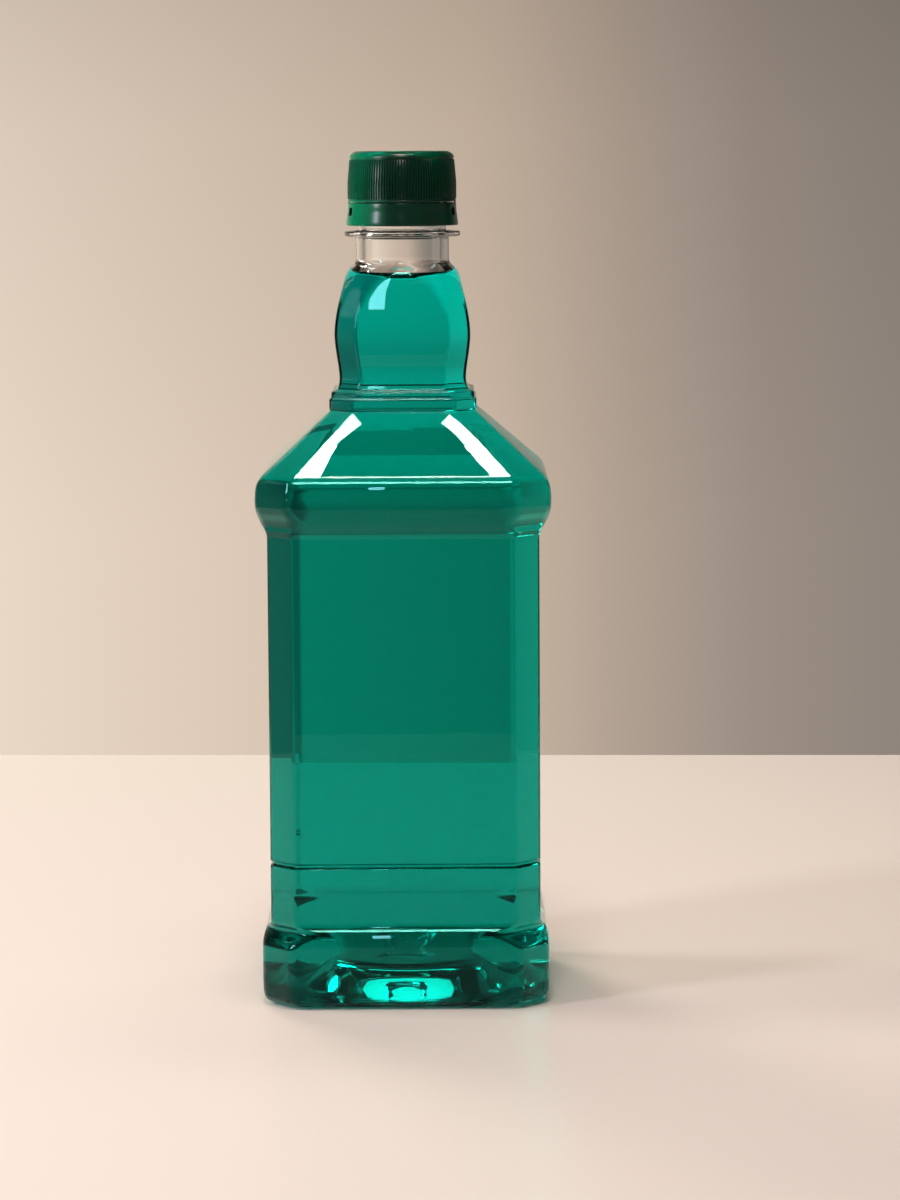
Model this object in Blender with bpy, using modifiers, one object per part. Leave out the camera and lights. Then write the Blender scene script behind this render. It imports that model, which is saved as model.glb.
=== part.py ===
# A square mouthwash-style bottle: blown clear shell, coloured liquid, knurled screw cap,
# sealing liner and tamper band. Metres, +Z up, standing on z = 0, front towards -Y.

import math

import bmesh
import bpy
from mathutils import Matrix, Vector

mm = 0.001
degree = math.pi / 180

# The whole height, and the heights of the bottle's bands, stacked from the table up:
# the straight body's is what the others leave of the whole
total_height = 240.0 * mm
foot_height = 23.2 * mm
bulge_height = 15.6 * mm
shoulder_height = 17.2 * mm
collar_height = 3.9 * mm
step_height = 1.6 * mm
barrel_height = 36.0 * mm
plain_neck_height = 7.1 * mm
ring_thickness = 2.1 * mm
finish_height = 19.2 * mm

# Widths across the flats of the square bands
foot_width = 81.2 * mm
body_width = 76.3 * mm
bulge_width = 83.2 * mm
shoulder_break_width = 79.6 * mm
shoulder_top_width = 41.6 * mm
collar_width = 41.7 * mm
step_width = 40.5 * mm
waist_width = 36.0 * mm
barrel_width = 38.3 * mm
barrel_top_width = 32.9 * mm

# How far each band's corner is cut back, and the rounding of the cut's two edges
foot_corner = 8.4 * mm
body_corner = 7.0 * mm
bulge_corner = 9.4 * mm
collar_corner = 5.8 * mm
barrel_corner = 5.6 * mm
foot_rounding = 4.0 * mm
body_rounding = 2.0 * mm
bulge_rounding = 5.0 * mm
collar_rounding = 2.2 * mm
barrel_rounding = 1.8 * mm

# The groove pressed round the lower body
groove_height = 40.7 * mm
groove_width = 1.3 * mm
groove_depth = 0.5 * mm

# The heel and the pushed-up base
heel_radius = 4.2 * mm
push_up_radius = 31.5 * mm
push_up_height = 8.0 * mm
push_up_top_radius = 18.6 * mm
gate_boss_radius = 7.2 * mm
gate_boss_depth = 1.4 * mm

# The neck finish
neck_diameter = 26.5 * mm
bore_diameter = 21.74 * mm
thread_root_diameter = 24.94 * mm
thread_diameter = 27.43 * mm
bead_diameter = 28.0 * mm
ring_diameter = 33.0 * mm
ring_rim_thickness = 1.1 * mm
lip_chamfer = 0.5 * mm
bead_height = 4.4 * mm
bead_thickness = 1.9 * mm
weld_depth = 0.5 * mm
weld_distance = 0.0001 * mm

# The screw thread
thread_pitch = 3.18 * mm
thread_start_below_lip = 2.2 * mm
thread_base_width = 1.7 * mm
thread_crest_width = 0.8 * mm
thread_turns = 1.9
vent_slot_width = 1.8 * mm
vent_slot_count = 4

# Wall thicknesses
body_wall = 0.7 * mm
foot_wall = 1.1 * mm
base_wall = 1.8 * mm
shoulder_wall = 0.9 * mm
barrel_wall = 1.3 * mm

# The liquid: its level under the support ring, and its gap to the walls
fill_below_ring = 11.8 * mm
liquid_gap = 0.3 * mm

# The screw cap
cap_height = 14.3 * mm
cap_diameter = 31.0 * mm
cap_top_diameter = 29.9 * mm
cap_top_wall = 1.6 * mm
cap_edge_radius = 1.9 * mm
cap_straight_height = 5.6 * mm
knurl_margin = 0.5 * mm
knurl_ledge = 2.2 * mm
knurl_depth = 0.35 * mm
knurl_count = 120
cap_thread_base_width = 1.6 * mm
cap_thread_crest_width = 0.7 * mm
cap_thread_turns = 1.6
thread_flank_clearance = 0.33 * mm
thread_crest_clearance = 0.33 * mm

# The liner and the tamper band
running_gap = 0.3 * mm
liner_thickness = 0.9 * mm
liner_margin = 0.6 * mm
band_gap = 0.8 * mm
band_height = 5.9 * mm
band_flare = 0.45 * mm
band_wall = 0.95 * mm
catch_thickness = 1.0 * mm
catch_clearance = 0.45 * mm
bridge_width = 0.9 * mm
bridge_count = 10
window_width = 2.6 * mm
window_height = 2.2 * mm
window_above_catch = 0.1 * mm

# Facets and curves
points_per_corner = 4
thread_steps = 32
ring_steps = 48
cap_steps = 48

# Shares that shape the curves
arc_shares = (0.25, 0.5, 0.75, 1.0)
round_corner_share = 2 - math.sqrt(2)
chamfer_wall_share = 2 - math.sqrt(2)
least_rounding_share = 0.25
ring_break_shares = (0.6, 0.4)
ring_rim_slope_share = 0.5
bead_slope_share = 0.4
neck_wall_share = 0.7
barrel_peak_share = 0.412
barrel_waist_share = 0.1
barrel_top_share = 0.863
barrel_top_square_share = 0.3
barrel_waist_shares = (0.5, 1.0)
bulge_upper_share = 0.34
bulge_lower_share = 0.53
under_bulge_share = 0.97
under_bulge_lean_share = 0.55
under_bulge_fillet_share = 0.12
groove_bow_share = 0.1
heel_corner_share = 0.3
push_up_shares = ((0.12, 0.03), (0.3, 0.2), (0.7, 0.8), (0.88, 0.97), (1.0, 1.0))
knurl_root_share = 1.3
liner_edge_share = 0.25
catch_foot_share = 0.6
catch_slope_share = 0.5
band_flare_share = 0.3
band_foot_share = 0.12

# Share of the barrel's height, of the way out from the neck, and of the way to square
barrel_neck_shares = ((0.97, 0.43, 0.03), (0.935, 0.76, 0.12))

# Share of the way up a band, and of the way out from its narrow to its wide width
flare_shares = ((0.035, 0.1), (0.008, 0.4))
step_crown_shares = (0.9, 0.88)
step_middle_share = 0.5
step_foot_share = 0.08
collar_crown_shares = ((0.93, 0.7), (0.85, 1.0))
collar_foot_shares = ((0.14, 1.0), (0.06, 0.6))
shoulder_start_share = 0.2
foot_flare_shares = ((0.96, 0.1), (0.915, 0.45), (0.855, 0.8), (0.77, 0.96), (0.66, 1.0))

# Which of those levels the inner skin follows too
walled_curl_shares = (0, 0.5, 0.75)
walled_flare_shares = (0.45, 0.96)
walled_heel_shares = (0, 0.5, 1.0)
walled_push_up_shares = (0.12, 0.3, 0.7, 1.0)

# Colours of the pieces and how rough they are
pet_color = (0.78, 0.9, 0.87)
liquid_color = (0.0, 0.25, 0.19)
cap_color = (0.0, 0.12, 0.04)
band_color = (0.0, 0.1, 0.035)
liner_color = (0.85, 0.86, 0.84)
clear_alpha_share = 0.35
liquid_alpha_share = 0.85
clear_roughness_share = 0.05
moulded_roughness_share = 0.3
foam_roughness_share = 0.6
sharp_angle = 35 * degree

# Where the tamper band's windows stand, to both sides of its left and right
window_angle = 20 * degree

# The closure stands on the lip: liner, then cap, then band below the cap
cap_top = total_height
liner_top = cap_top - cap_top_wall - running_gap
liner_bottom = liner_top - liner_thickness
lip_height = liner_bottom - running_gap
cap_bottom = cap_top - cap_height
cap_inside_radius = thread_diameter / 2 + thread_crest_clearance
band_top = cap_bottom - band_gap
band_bottom = band_top - band_height

# Heights of the joints between bands: down from the lip to the body, and up from the table
ring_top = lip_height - finish_height
ring_bottom = ring_top - ring_thickness
fill_height = ring_bottom - fill_below_ring
barrel_top = ring_bottom - plain_neck_height
step_top = barrel_top - barrel_height
collar_top = step_top - step_height
shoulder_top = collar_top - collar_height
bulge_top = shoulder_top - shoulder_height
body_top = bulge_top - bulge_height
foot_top = foot_height


def mix(low, high, share):
    return low + (high - low) * share


def clear_scene():
    for obj in list(bpy.data.objects):
        bpy.data.objects.remove(obj, do_unlink=True)


def new_collection(name):
    collection = bpy.data.collections.new(name)
    bpy.context.scene.collection.children.link(collection)
    return collection


def plastic(name, color, roughness, alpha=1.0):
    material = bpy.data.materials.new(name)
    material.use_nodes = True
    shader = material.node_tree.nodes["Principled BSDF"]
    shader.inputs["Base Color"].default_value = (*color, 1)
    shader.inputs["Roughness"].default_value = roughness
    shader.inputs["Metallic"].default_value = 0
    shader.inputs["Alpha"].default_value = alpha
    material.diffuse_color = (*color, alpha)
    return material


def add_object(name, bm, collection, material=None):
    bmesh.ops.recalc_face_normals(bm, faces=bm.faces)
    mesh = bpy.data.meshes.new(name)
    bm.to_mesh(mesh)
    bm.free()
    mesh.shade_smooth()
    mesh.set_sharp_from_angle(angle=sharp_angle)
    obj = bpy.data.objects.new(name, mesh)
    collection.objects.link(obj)
    if material:
        mesh.materials.append(material)
    return obj


def as_helper(obj):
    obj.hide_render = True
    obj.display_type = "WIRE"
    return obj


def boolean(obj, other, operation):
    modifier = obj.modifiers.new(other.name, "BOOLEAN")
    modifier.operation = operation
    modifier.solver = "EXACT"
    modifier.object = other


# Sections and lofts


class Station:
    """One level of the bottle: a square with cut, rounded corners, or a circle."""

    def __init__(self, z, half_width, corner, rounding, wall=None):
        self.z = z
        self.half_width = half_width
        self.corner = corner
        self.rounding = rounding
        self.wall = wall

    def points(self):
        far = self.half_width - self.rounding
        near = self.half_width - self.corner - self.rounding * (math.sqrt(2) - 1)
        found = []
        for quarter in range(4):
            turn = Matrix.Rotation(quarter * math.pi / 2, 3, "Z")
            for x, y, start in ((far, near, 0), (near, far, math.pi / 4)):
                for step in range(points_per_corner):
                    angle = start + (step + 0.5) * math.pi / 4 / points_per_corner
                    across = x + self.rounding * math.cos(angle)
                    along = y + self.rounding * math.sin(angle)
                    found.append(turn @ Vector((across, along, self.z)))
        return found

    def inset(self, shift_in, shift_up):
        least = least_rounding_share * self.rounding
        return Station(
            self.z + shift_up,
            self.half_width - shift_in,
            self.corner - chamfer_wall_share * shift_in,
            max(self.rounding - shift_in, least),
        )


def circle(z, radius, wall=None):
    return Station(z, radius, round_corner_share * radius, radius, wall)


def part_squared(z, half_width, corner, rounding, share, wall=None):
    """A section between a circle (share 0) and a square with cut corners (share 1)."""
    return Station(
        z,
        half_width,
        mix(round_corner_share * half_width, corner, share),
        mix(half_width, rounding, share),
        wall,
    )


def between(low, high, share):
    """The section at a share of the way from one station to another."""
    return Station(
        mix(low.z, high.z, share),
        mix(low.half_width, high.half_width, share),
        mix(low.corner, high.corner, share),
        mix(low.rounding, high.rounding, share),
    )


def loft(stations, closed_start, closed_end):
    """A skin through the stations, with a fan over each end that is closed."""
    bm = bmesh.new()
    rings = [[bm.verts.new(point) for point in s.points()] for s in stations]
    for upper, lower in zip(rings, rings[1:]):
        bridge(bm, upper, lower)
    for ring, station, wanted in (
        (rings[0], stations[0], closed_start),
        (rings[-1], stations[-1], closed_end),
    ):
        if wanted:
            fan(bm, ring, station.z)
    return bm


def bridge(bm, upper, lower):
    for i in range(len(upper)):
        j = (i + 1) % len(upper)
        bm.faces.new((upper[i], upper[j], lower[j], lower[i]))


def fan(bm, ring, z):
    centre = bm.verts.new((0, 0, z))
    for i in range(len(ring)):
        bm.faces.new((ring[i], ring[(i + 1) % len(ring)], centre))


# The bottle's outer profile, from the lip down to the middle of the base


def finish_stations():
    root = thread_root_diameter / 2
    neck = neck_diameter / 2
    thickness = (neck_diameter - bore_diameter) / 2
    return [
        circle(lip_height, root - lip_chamfer),
        circle(lip_height - lip_chamfer, root),
        circle(mix(ring_bottom, ring_top, ring_break_shares[0]), root),
        circle(mix(ring_bottom, ring_top, ring_break_shares[1]), neck),
        circle(barrel_top, neck, thickness),
    ]


def barrel_stations():
    neck = neck_diameter / 2
    top = barrel_top_width / 2
    peak = barrel_width / 2
    waist = waist_width / 2
    neck_wall = (neck_diameter - bore_diameter) / 2

    def level(share, half_width, square, wall=None):
        z = mix(step_top, barrel_top, share)
        return part_squared(z, half_width, barrel_corner, barrel_rounding, square, wall)

    stations = []
    for up, out, square in barrel_neck_shares:
        stations.append(level(up, mix(neck, top, out), square))
    stations[0].wall = mix(barrel_wall, neck_wall, neck_wall_share)
    stations.append(level(barrel_top_share, top, barrel_top_square_share, barrel_wall))
    for share in arc_shares:
        place = mix(barrel_top_share, barrel_peak_share, share)
        width = mix(peak, top, (1 - share) ** 2)
        square = mix(barrel_top_square_share, 1, share)
        stations.append(level(place, width, square, barrel_wall))
    for share in barrel_waist_shares:
        place = mix(barrel_peak_share, barrel_waist_share, share)
        stations.append(level(place, mix(peak, waist, share**2), 1, barrel_wall))
    return stations


def collar_stations():
    waist = waist_width / 2
    step = step_width / 2
    collar = collar_width / 2
    shoulder = shoulder_top_width / 2

    def level(z, half_width, wall=None):
        return Station(z, half_width, collar_corner, collar_rounding, wall)

    crown_up, crown_out = step_crown_shares
    stations = [level(mix(step_top, barrel_top, up), mix(waist, step, out)) for up, out in flare_shares]
    stations += [
        level(mix(collar_top, step_top, crown_up), mix(waist, step, crown_out)),
        level(mix(collar_top, step_top, step_middle_share), step),
        level(mix(collar_top, step_top, step_foot_share), step, shoulder_wall),
    ]
    for up, out in (*collar_crown_shares, *collar_foot_shares):
        stations.append(level(mix(shoulder_top, collar_top, up), mix(step, collar, out)))
    stations.append(level(shoulder_top, shoulder, shoulder_wall))
    return stations


def bulge_level(z, half_width, wall=None):
    """Corners grow with the width, from the collar's to the bulge's."""
    share = (half_width - shoulder_top_width / 2) / (bulge_width / 2 - shoulder_top_width / 2)
    corner = mix(collar_corner, bulge_corner, share)
    rounding = mix(collar_rounding, bulge_rounding, share)
    return Station(z, half_width, corner, rounding, wall)


def shoulder_stations():
    edge = shoulder_break_width / 2
    widest = bulge_width / 2
    narrow = shoulder_top_width / 2
    lean = math.atan2(edge - narrow, shoulder_height)
    rise = bulge_upper_share * bulge_height
    start = shoulder_start_share
    stations = [
        bulge_level(mix(shoulder_top, bulge_top, start), mix(narrow, edge, start), shoulder_wall),
        bulge_level(bulge_top, edge, shoulder_wall),
    ]
    for share in arc_shares:
        angle = lean * (1 - share)
        out = (1 - math.cos(angle)) / (1 - math.cos(lean))
        up = math.sin(angle) / math.sin(lean)
        z = bulge_top - rise * (1 - up)
        stations.append(bulge_level(z, mix(widest, edge, out), shoulder_wall))
    return stations


def bulge_stations():
    """The underside of the bulge, curling in to the body's width and corners."""
    widest = bulge_width / 2
    body = body_width / 2
    drop = bulge_lower_share * bulge_height
    fillet = under_bulge_fillet_share * drop
    lean = math.acos(under_bulge_lean_share)
    stations = []
    for share in (0, *arc_shares):
        angle = share * lean
        out = (1 - math.cos(angle)) / (1 - math.cos(lean))
        down = math.sin(angle) / math.sin(lean)
        z = body_top + drop - (drop - fillet) * down
        wall = body_wall if share in walled_curl_shares else None
        turned_in = under_bulge_share * out
        stations.append(
            Station(
                z,
                mix(widest, body, turned_in),
                mix(bulge_corner, body_corner, turned_in),
                mix(bulge_rounding, body_rounding, turned_in),
                wall,
            )
        )
    return stations


def body_level(z, half_width, wall=None):
    return Station(z, half_width, body_corner, body_rounding, wall)


def body_stations():
    body = body_width / 2
    floor = body - groove_depth
    half = groove_width / 2
    return [
        body_level(body_top, body, body_wall),
        body_level(groove_height + half, body, body_wall),
        body_level(groove_height + half / 2, floor),
        body_level(groove_height, floor - groove_bow_share * groove_depth, body_wall),
        body_level(groove_height - half / 2, floor),
        body_level(groove_height - half, body, body_wall),
        body_level(foot_top, body, body_wall),
    ]


def foot_stations():
    body = body_width / 2
    foot = foot_width / 2
    stations = []
    for up, out in foot_flare_shares:
        corner = mix(body_corner, foot_corner, out)
        rounding = mix(body_rounding, foot_rounding, out)
        wall = foot_wall if out in walled_flare_shares else None
        z = mix(0, foot_top, up)
        stations.append(Station(z, mix(body, foot, out), corner, rounding, wall))
    for share in (0, *arc_shares):
        angle = share * math.pi / 2
        half_width = foot - heel_radius * (1 - math.cos(angle))
        z = heel_radius * (1 - math.sin(angle))
        corner = foot_corner + share * heel_corner_share * heel_radius
        wall = foot_wall if share in walled_heel_shares else None
        stations.append(Station(z, half_width, corner, foot_rounding, wall))
    return stations


def base_stations():
    """The pushed-up base: up from the standing ring to a flat top, with the gate's boss in it."""
    stations = [circle(0, push_up_radius)]
    for inward, up in push_up_shares:
        wall = base_wall if inward in walled_push_up_shares else None
        radius = mix(push_up_radius, push_up_top_radius, inward)
        stations.append(circle(mix(0, push_up_height, up), radius, wall))
    stations.append(circle(push_up_height, gate_boss_radius + gate_boss_depth / 2, base_wall))
    stations.append(circle(push_up_height - gate_boss_depth, gate_boss_radius))
    return stations


def outer_profile():
    return (
        finish_stations()
        + barrel_stations()
        + collar_stations()
        + shoulder_stations()
        + bulge_stations()
        + body_stations()
        + foot_stations()
        + base_stations()
    )


def inner_profile(outer, extra):
    """The outer profile moved in along its own normals by the wall and an extra gap."""
    found = []
    for before, here, after in zip(outer, outer[1:], outer[2:]):
        if here.wall is None:
            continue
        across = Vector((after.half_width - before.half_width, after.z - before.z)).normalized()
        depth = here.wall + extra
        found.append(here.inset(-across.y * depth, -across.x * depth))
    return found


def bottle_shell():
    outer = outer_profile()
    inner = inner_profile(outer, 0)
    bore = bore_diameter / 2
    upper = [circle(inner[0].z, bore), circle(lip_height - lip_chamfer, bore)]
    upper.append(circle(lip_height, bore + lip_chamfer))
    skin = upper[::-1] + inner[1:]
    bm = loft(outer, False, True)
    inside = loft(skin, False, True)
    join_skins(bm, inside, len(outer[0].points()))
    return bm


def join_skins(bm, inside, count):
    """Adds the inner skin to the outer one and bridges both at the lip."""
    first = len(bm.verts)
    mesh = bpy.data.meshes.new("inner_skin")
    inside.to_mesh(mesh)
    inside.free()
    bm.from_mesh(mesh)
    bpy.data.meshes.remove(mesh)
    bm.verts.ensure_lookup_table()
    bridge(bm, [bm.verts[i] for i in range(count)], [bm.verts[first + i] for i in range(count)])


# Turned pieces and threads


def turned(name, profile, steps, collection, material=None):
    """A profile of radius and height pairs, top to bottom on its outer side, turned about Z."""
    bm = bmesh.new()
    verts = [bm.verts.new((radius, 0, z)) for radius, z in profile]
    for first, second in zip(verts, verts[1:]):
        bm.edges.new((first, second))
    if profile[0][0] > 0:
        bm.edges.new((verts[-1], verts[0]))
    mesh = bpy.data.meshes.new(name)
    bm.to_mesh(mesh)
    bm.free()
    obj = bpy.data.objects.new(name, mesh)
    collection.objects.link(obj)
    screw = obj.modifiers.new("turn", "SCREW")
    screw.axis = "Z"
    screw.steps = steps
    screw.render_steps = steps
    screw.use_merge_vertices = True
    screw.merge_threshold = weld_distance
    screw.use_smooth_shade = True
    if material:
        mesh.materials.append(material)
    return obj


def helix(name, section, turns, collection):
    """A section of radius and height pairs swept down a right-hand screw of the thread's pitch."""
    bm = bmesh.new()
    verts = [bm.verts.new((radius, 0, z)) for radius, z in section]
    face = bm.faces.new(verts)
    steps = round(turns * thread_steps)
    angle = 2 * math.pi / thread_steps
    bmesh.ops.spin(
        bm,
        geom=[face, *face.edges, *face.verts],
        cent=(0, 0, 0),
        axis=(0, 0, -1),
        dvec=(0, 0, -thread_pitch / thread_steps),
        angle=steps * angle,
        steps=steps,
        use_duplicate=False,
    )
    return as_helper(add_object(name, bm, collection))


# The pieces


def make_bottle(parts, cutters):
    material = plastic("clear_pet", pet_color, clear_roughness_share, clear_alpha_share)
    bottle = add_object("bottle", bottle_shell(), parts, material)
    for helper in (make_support_ring(cutters), make_bead(cutters), make_thread(cutters)):
        boolean(bottle, helper, "UNION")
    return bottle


def make_support_ring(cutters):
    rim = ring_diameter / 2
    middle = (ring_bottom + ring_top) / 2
    slope = ring_rim_slope_share * ring_rim_thickness
    profile = [
        (thread_root_diameter / 2 - weld_depth, ring_top),
        (thread_root_diameter / 2 + weld_depth, ring_top),
        (rim - slope, middle + ring_rim_thickness / 2),
        (rim, middle + slope / 2),
        (rim, middle - slope / 2),
        (rim - slope, middle - ring_rim_thickness / 2),
        (neck_diameter / 2 + weld_depth, ring_bottom),
        (neck_diameter / 2 - weld_depth, ring_bottom),
    ]
    return as_helper(turned("support_ring_stock", profile, ring_steps, cutters))


def make_bead(cutters):
    inside = thread_root_diameter / 2 - weld_depth
    rim = bead_diameter / 2
    low = ring_top + bead_height
    high = low + bead_thickness
    profile = [
        (inside, high),
        (thread_root_diameter / 2, high),
        (rim, mix(low, high, bead_slope_share)),
        (rim, low),
        (inside, low),
    ]
    return as_helper(turned("tamper_bead_stock", profile, ring_steps, cutters))


def thread_section(root, crest, z, base_width, crest_width):
    return [
        (root, z + base_width / 2),
        (crest, z + crest_width / 2),
        (crest, z - crest_width / 2),
        (root, z - base_width / 2),
    ]


def make_thread(cutters):
    root = thread_root_diameter / 2 - weld_depth
    z = lip_height - thread_start_below_lip
    section = thread_section(root, thread_diameter / 2, z, thread_base_width, thread_crest_width)
    thread = helix("neck_thread_stock", section, thread_turns, cutters)
    boolean(thread, make_vent_cutter(cutters), "DIFFERENCE")
    return thread


def make_vent_cutter(cutters):
    """Upright bars that cut the thread into stretches, so gas can leave as the cap turns."""
    bm = bmesh.new()
    for index in range(vent_slot_count // 2):
        turn = Matrix.Rotation((index + 0.5) * 2 * math.pi / vent_slot_count, 4, "Z")
        size = Matrix.Diagonal((2 * thread_diameter, vent_slot_width, 2 * finish_height, 1))
        place = Matrix.Translation((0, 0, lip_height))
        bmesh.ops.create_cube(bm, size=1, matrix=turn @ place @ size)
    return as_helper(add_object("vent_slot_bars", bm, cutters))


def make_liquid(parts):
    """The filling, a gap clear of the wall and of the base, up to its level in the neck."""
    material = plastic("green_liquid", liquid_color, clear_roughness_share, liquid_alpha_share)
    inner = inner_profile(outer_profile(), liquid_gap)
    below = [station for station in inner if station.z < fill_height]
    above = [station for station in inner if station.z >= fill_height][-1]
    share = (fill_height - below[0].z) / (above.z - below[0].z)
    surface = between(below[0], above, share)
    return add_object("liquid_fill", loft([surface, *below], True, True), parts, material)


def make_knurls(cutters, base):
    """A star-shaped sleeve: one crest and one valley for each rib of the grip."""
    bm = bmesh.new()
    crest = cap_diameter / 2
    top_crest = cap_top_diameter / 2
    low = knurl_margin
    high = cap_height - knurl_ledge
    levels = ((low, crest), (cap_straight_height, crest), (high, top_crest))
    count = 2 * knurl_count
    rings = []
    for z, radius in levels:
        ring = []
        for index in range(count):
            turn = Matrix.Rotation(index * 2 * math.pi / count, 3, "Z")
            here = radius - (index % 2) * knurl_depth
            ring.append(bm.verts.new(turn @ Vector((here, 0, z))))
        rings.append(ring)
    root = knurl_root_share * knurl_depth
    inside = (crest - root + cap_inside_radius) / 2
    top_inside = (top_crest - root + cap_inside_radius) / 2
    for z, radius in ((high, top_inside), (low, inside)):
        ring = []
        for index in range(count):
            turn = Matrix.Rotation(index * 2 * math.pi / count, 3, "Z")
            ring.append(bm.verts.new(turn @ Vector((radius, 0, z))))
        rings.append(ring)
    for upper, lower in zip(rings, rings[1:] + rings[:1]):
        bridge(bm, upper, lower)
    sleeve = as_helper(add_object("knurl_stock", bm, cutters))
    sleeve.parent = base
    return sleeve


def make_cap(parts, cutters, base):
    material = plastic("green_polypropylene", cap_color, moulded_roughness_share)
    grip = cap_diameter / 2 - knurl_root_share * knurl_depth
    top = cap_top_diameter / 2 - knurl_root_share * knurl_depth
    ceiling = cap_height - cap_top_wall
    inside = cap_inside_radius
    profile = [(0, cap_height)]
    for share in (0, *arc_shares):
        angle = share * math.pi / 2
        radius = top - cap_edge_radius * (1 - math.sin(angle))
        profile.append((radius, cap_height - cap_edge_radius * (1 - math.cos(angle))))
    profile += [
        (grip, cap_straight_height),
        (grip, 0),
        (inside, 0),
        (inside, ceiling - cap_top_wall / 2),
        (inside - cap_top_wall / 2, ceiling),
        (0, ceiling),
    ]
    cap = turned("screw_cap", profile, cap_steps, parts, material)
    cap.parent = base
    boolean(cap, make_knurls(cutters, base), "UNION")
    boolean(cap, make_cap_thread(cutters, base, (top + inside) / 2), "UNION")
    return cap


def make_cap_thread(cutters, base, root):
    """The cap's thread runs between the neck's turns, a flank clearance below the upper one."""
    neck_centre = lip_height - thread_start_below_lip
    half_widths = (thread_crest_width + cap_thread_base_width) / 2
    centre = neck_centre - half_widths - thread_flank_clearance - cap_bottom
    crest = thread_root_diameter / 2 + thread_crest_clearance
    section = thread_section(
        root, crest, centre, cap_thread_base_width, cap_thread_crest_width
    )
    thread = helix("cap_thread_stock", section, cap_thread_turns, cutters)
    thread.parent = base
    return thread


def make_liner(parts, axis):
    material = plastic("liner_foam", liner_color, foam_roughness_share)
    radius = thread_diameter / 2 - liner_margin
    edge = liner_edge_share * liner_thickness
    profile = [
        (0, liner_thickness),
        (radius - edge, liner_thickness),
        (radius, liner_thickness - edge),
        (radius, edge),
        (radius - edge, 0),
        (0, 0),
    ]
    liner = turned("cap_liner", profile, ring_steps, parts, material)
    liner.parent = axis
    liner.location.z = liner_bottom - axis.location.z
    return liner


def make_band(parts, cutters, axis):
    material = plastic("green_band", band_color, moulded_roughness_share)
    top = cap_diameter / 2
    bottom = top + band_flare
    inside = top - band_wall
    catch = thread_root_diameter / 2 + catch_clearance
    bead_low = ring_top + bead_height - band_bottom
    catch_high = bead_low - running_gap
    catch_low = catch_high - catch_thickness
    profile = [
        (inside, band_height),
        (top, band_height),
        (mix(top, bottom, band_flare_share), band_height / 2),
        (bottom, band_foot_share * band_height),
        (bottom, 0),
        (bottom - band_wall, 0),
        (mix(catch, inside, catch_foot_share), catch_low - catch_thickness),
        (catch, catch_low),
        (catch, catch_high),
        (inside, catch_high - catch_slope_share * catch_thickness),
    ]
    band = turned("tamper_band", profile, ring_steps, parts, material)
    band.parent = axis
    band.location.z = band_bottom - axis.location.z
    boolean(band, make_bridges(cutters, band), "UNION")
    boolean(band, make_window_cutter(cutters, band, catch_high), "DIFFERENCE")
    return band


def make_bridges(cutters, band):
    """Short pegs left on the band by the cut, a gap below the cap's skirt."""
    bm = bmesh.new()
    radius = cap_diameter / 2 - band_wall / 2
    tall = band_gap - running_gap + weld_depth
    for index in range(bridge_count):
        turn = Matrix.Rotation(index * 2 * math.pi / bridge_count, 4, "Z")
        place = Matrix.Translation((radius, 0, band_height - weld_depth + tall / 2))
        size = Matrix.Diagonal((band_wall / 2, bridge_width, tall, 1))
        bmesh.ops.create_cube(bm, size=1, matrix=turn @ place @ size)
    bridges = as_helper(add_object("bridge_stock", bm, cutters))
    bridges.parent = band
    return bridges


def make_window_cutter(cutters, band, catch_high):
    """Two crossed bars that open four windows in the band, above its catch."""
    bm = bmesh.new()
    middle = catch_high + window_above_catch + window_height / 2
    for angle in (-window_angle, window_angle):
        turn = Matrix.Rotation(angle, 4, "Z")
        place = Matrix.Translation((0, 0, middle))
        size = Matrix.Diagonal((2 * cap_diameter, window_width, window_height, 1))
        bmesh.ops.create_cube(bm, size=1, matrix=turn @ place @ size)
    bars = as_helper(add_object("window_bars", bm, cutters))
    bars.parent = band
    return bars


def main():
    clear_scene()
    parts = new_collection("square_bottle")
    cutters = new_collection("helpers")
    axis = bpy.data.objects.new("closure_axis", None)
    axis.location.z = ring_top
    parts.objects.link(axis)
    cap_base = bpy.data.objects.new("cap_base", None)
    cap_base.parent = axis
    cap_base.location.z = cap_bottom - axis.location.z
    parts.objects.link(cap_base)
    make_bottle(parts, cutters)
    make_liquid(parts)
    make_cap(parts, cutters, cap_base)
    make_liner(parts, axis)
    make_band(parts, cutters, axis)


main()
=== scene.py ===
import math

import bmesh
import bpy
from mathutils import Matrix, Vector


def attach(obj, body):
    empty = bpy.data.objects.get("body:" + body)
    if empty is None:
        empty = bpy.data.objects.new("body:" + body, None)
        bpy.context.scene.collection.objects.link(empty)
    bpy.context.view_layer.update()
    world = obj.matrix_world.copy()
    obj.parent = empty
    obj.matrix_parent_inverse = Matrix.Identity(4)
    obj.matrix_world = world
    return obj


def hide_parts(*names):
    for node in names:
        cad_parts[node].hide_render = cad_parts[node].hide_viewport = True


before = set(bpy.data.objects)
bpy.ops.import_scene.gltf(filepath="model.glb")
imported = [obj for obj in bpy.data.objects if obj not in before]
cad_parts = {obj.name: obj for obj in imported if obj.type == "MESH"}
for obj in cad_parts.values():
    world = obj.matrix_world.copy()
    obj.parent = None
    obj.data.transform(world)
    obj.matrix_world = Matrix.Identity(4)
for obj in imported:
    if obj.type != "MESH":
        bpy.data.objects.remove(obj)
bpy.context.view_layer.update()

mm = 0.001
degree = math.pi / 180
samePoint = 1e-6


# Modelling helpers


def mix(low, high, share):
    return low + (high - low) * share


def deselectAll():
    if bpy.context.object and bpy.context.object.mode != "OBJECT":
        bpy.ops.object.mode_set(mode="OBJECT")
    bpy.ops.object.select_all(action="DESELECT")


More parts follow.
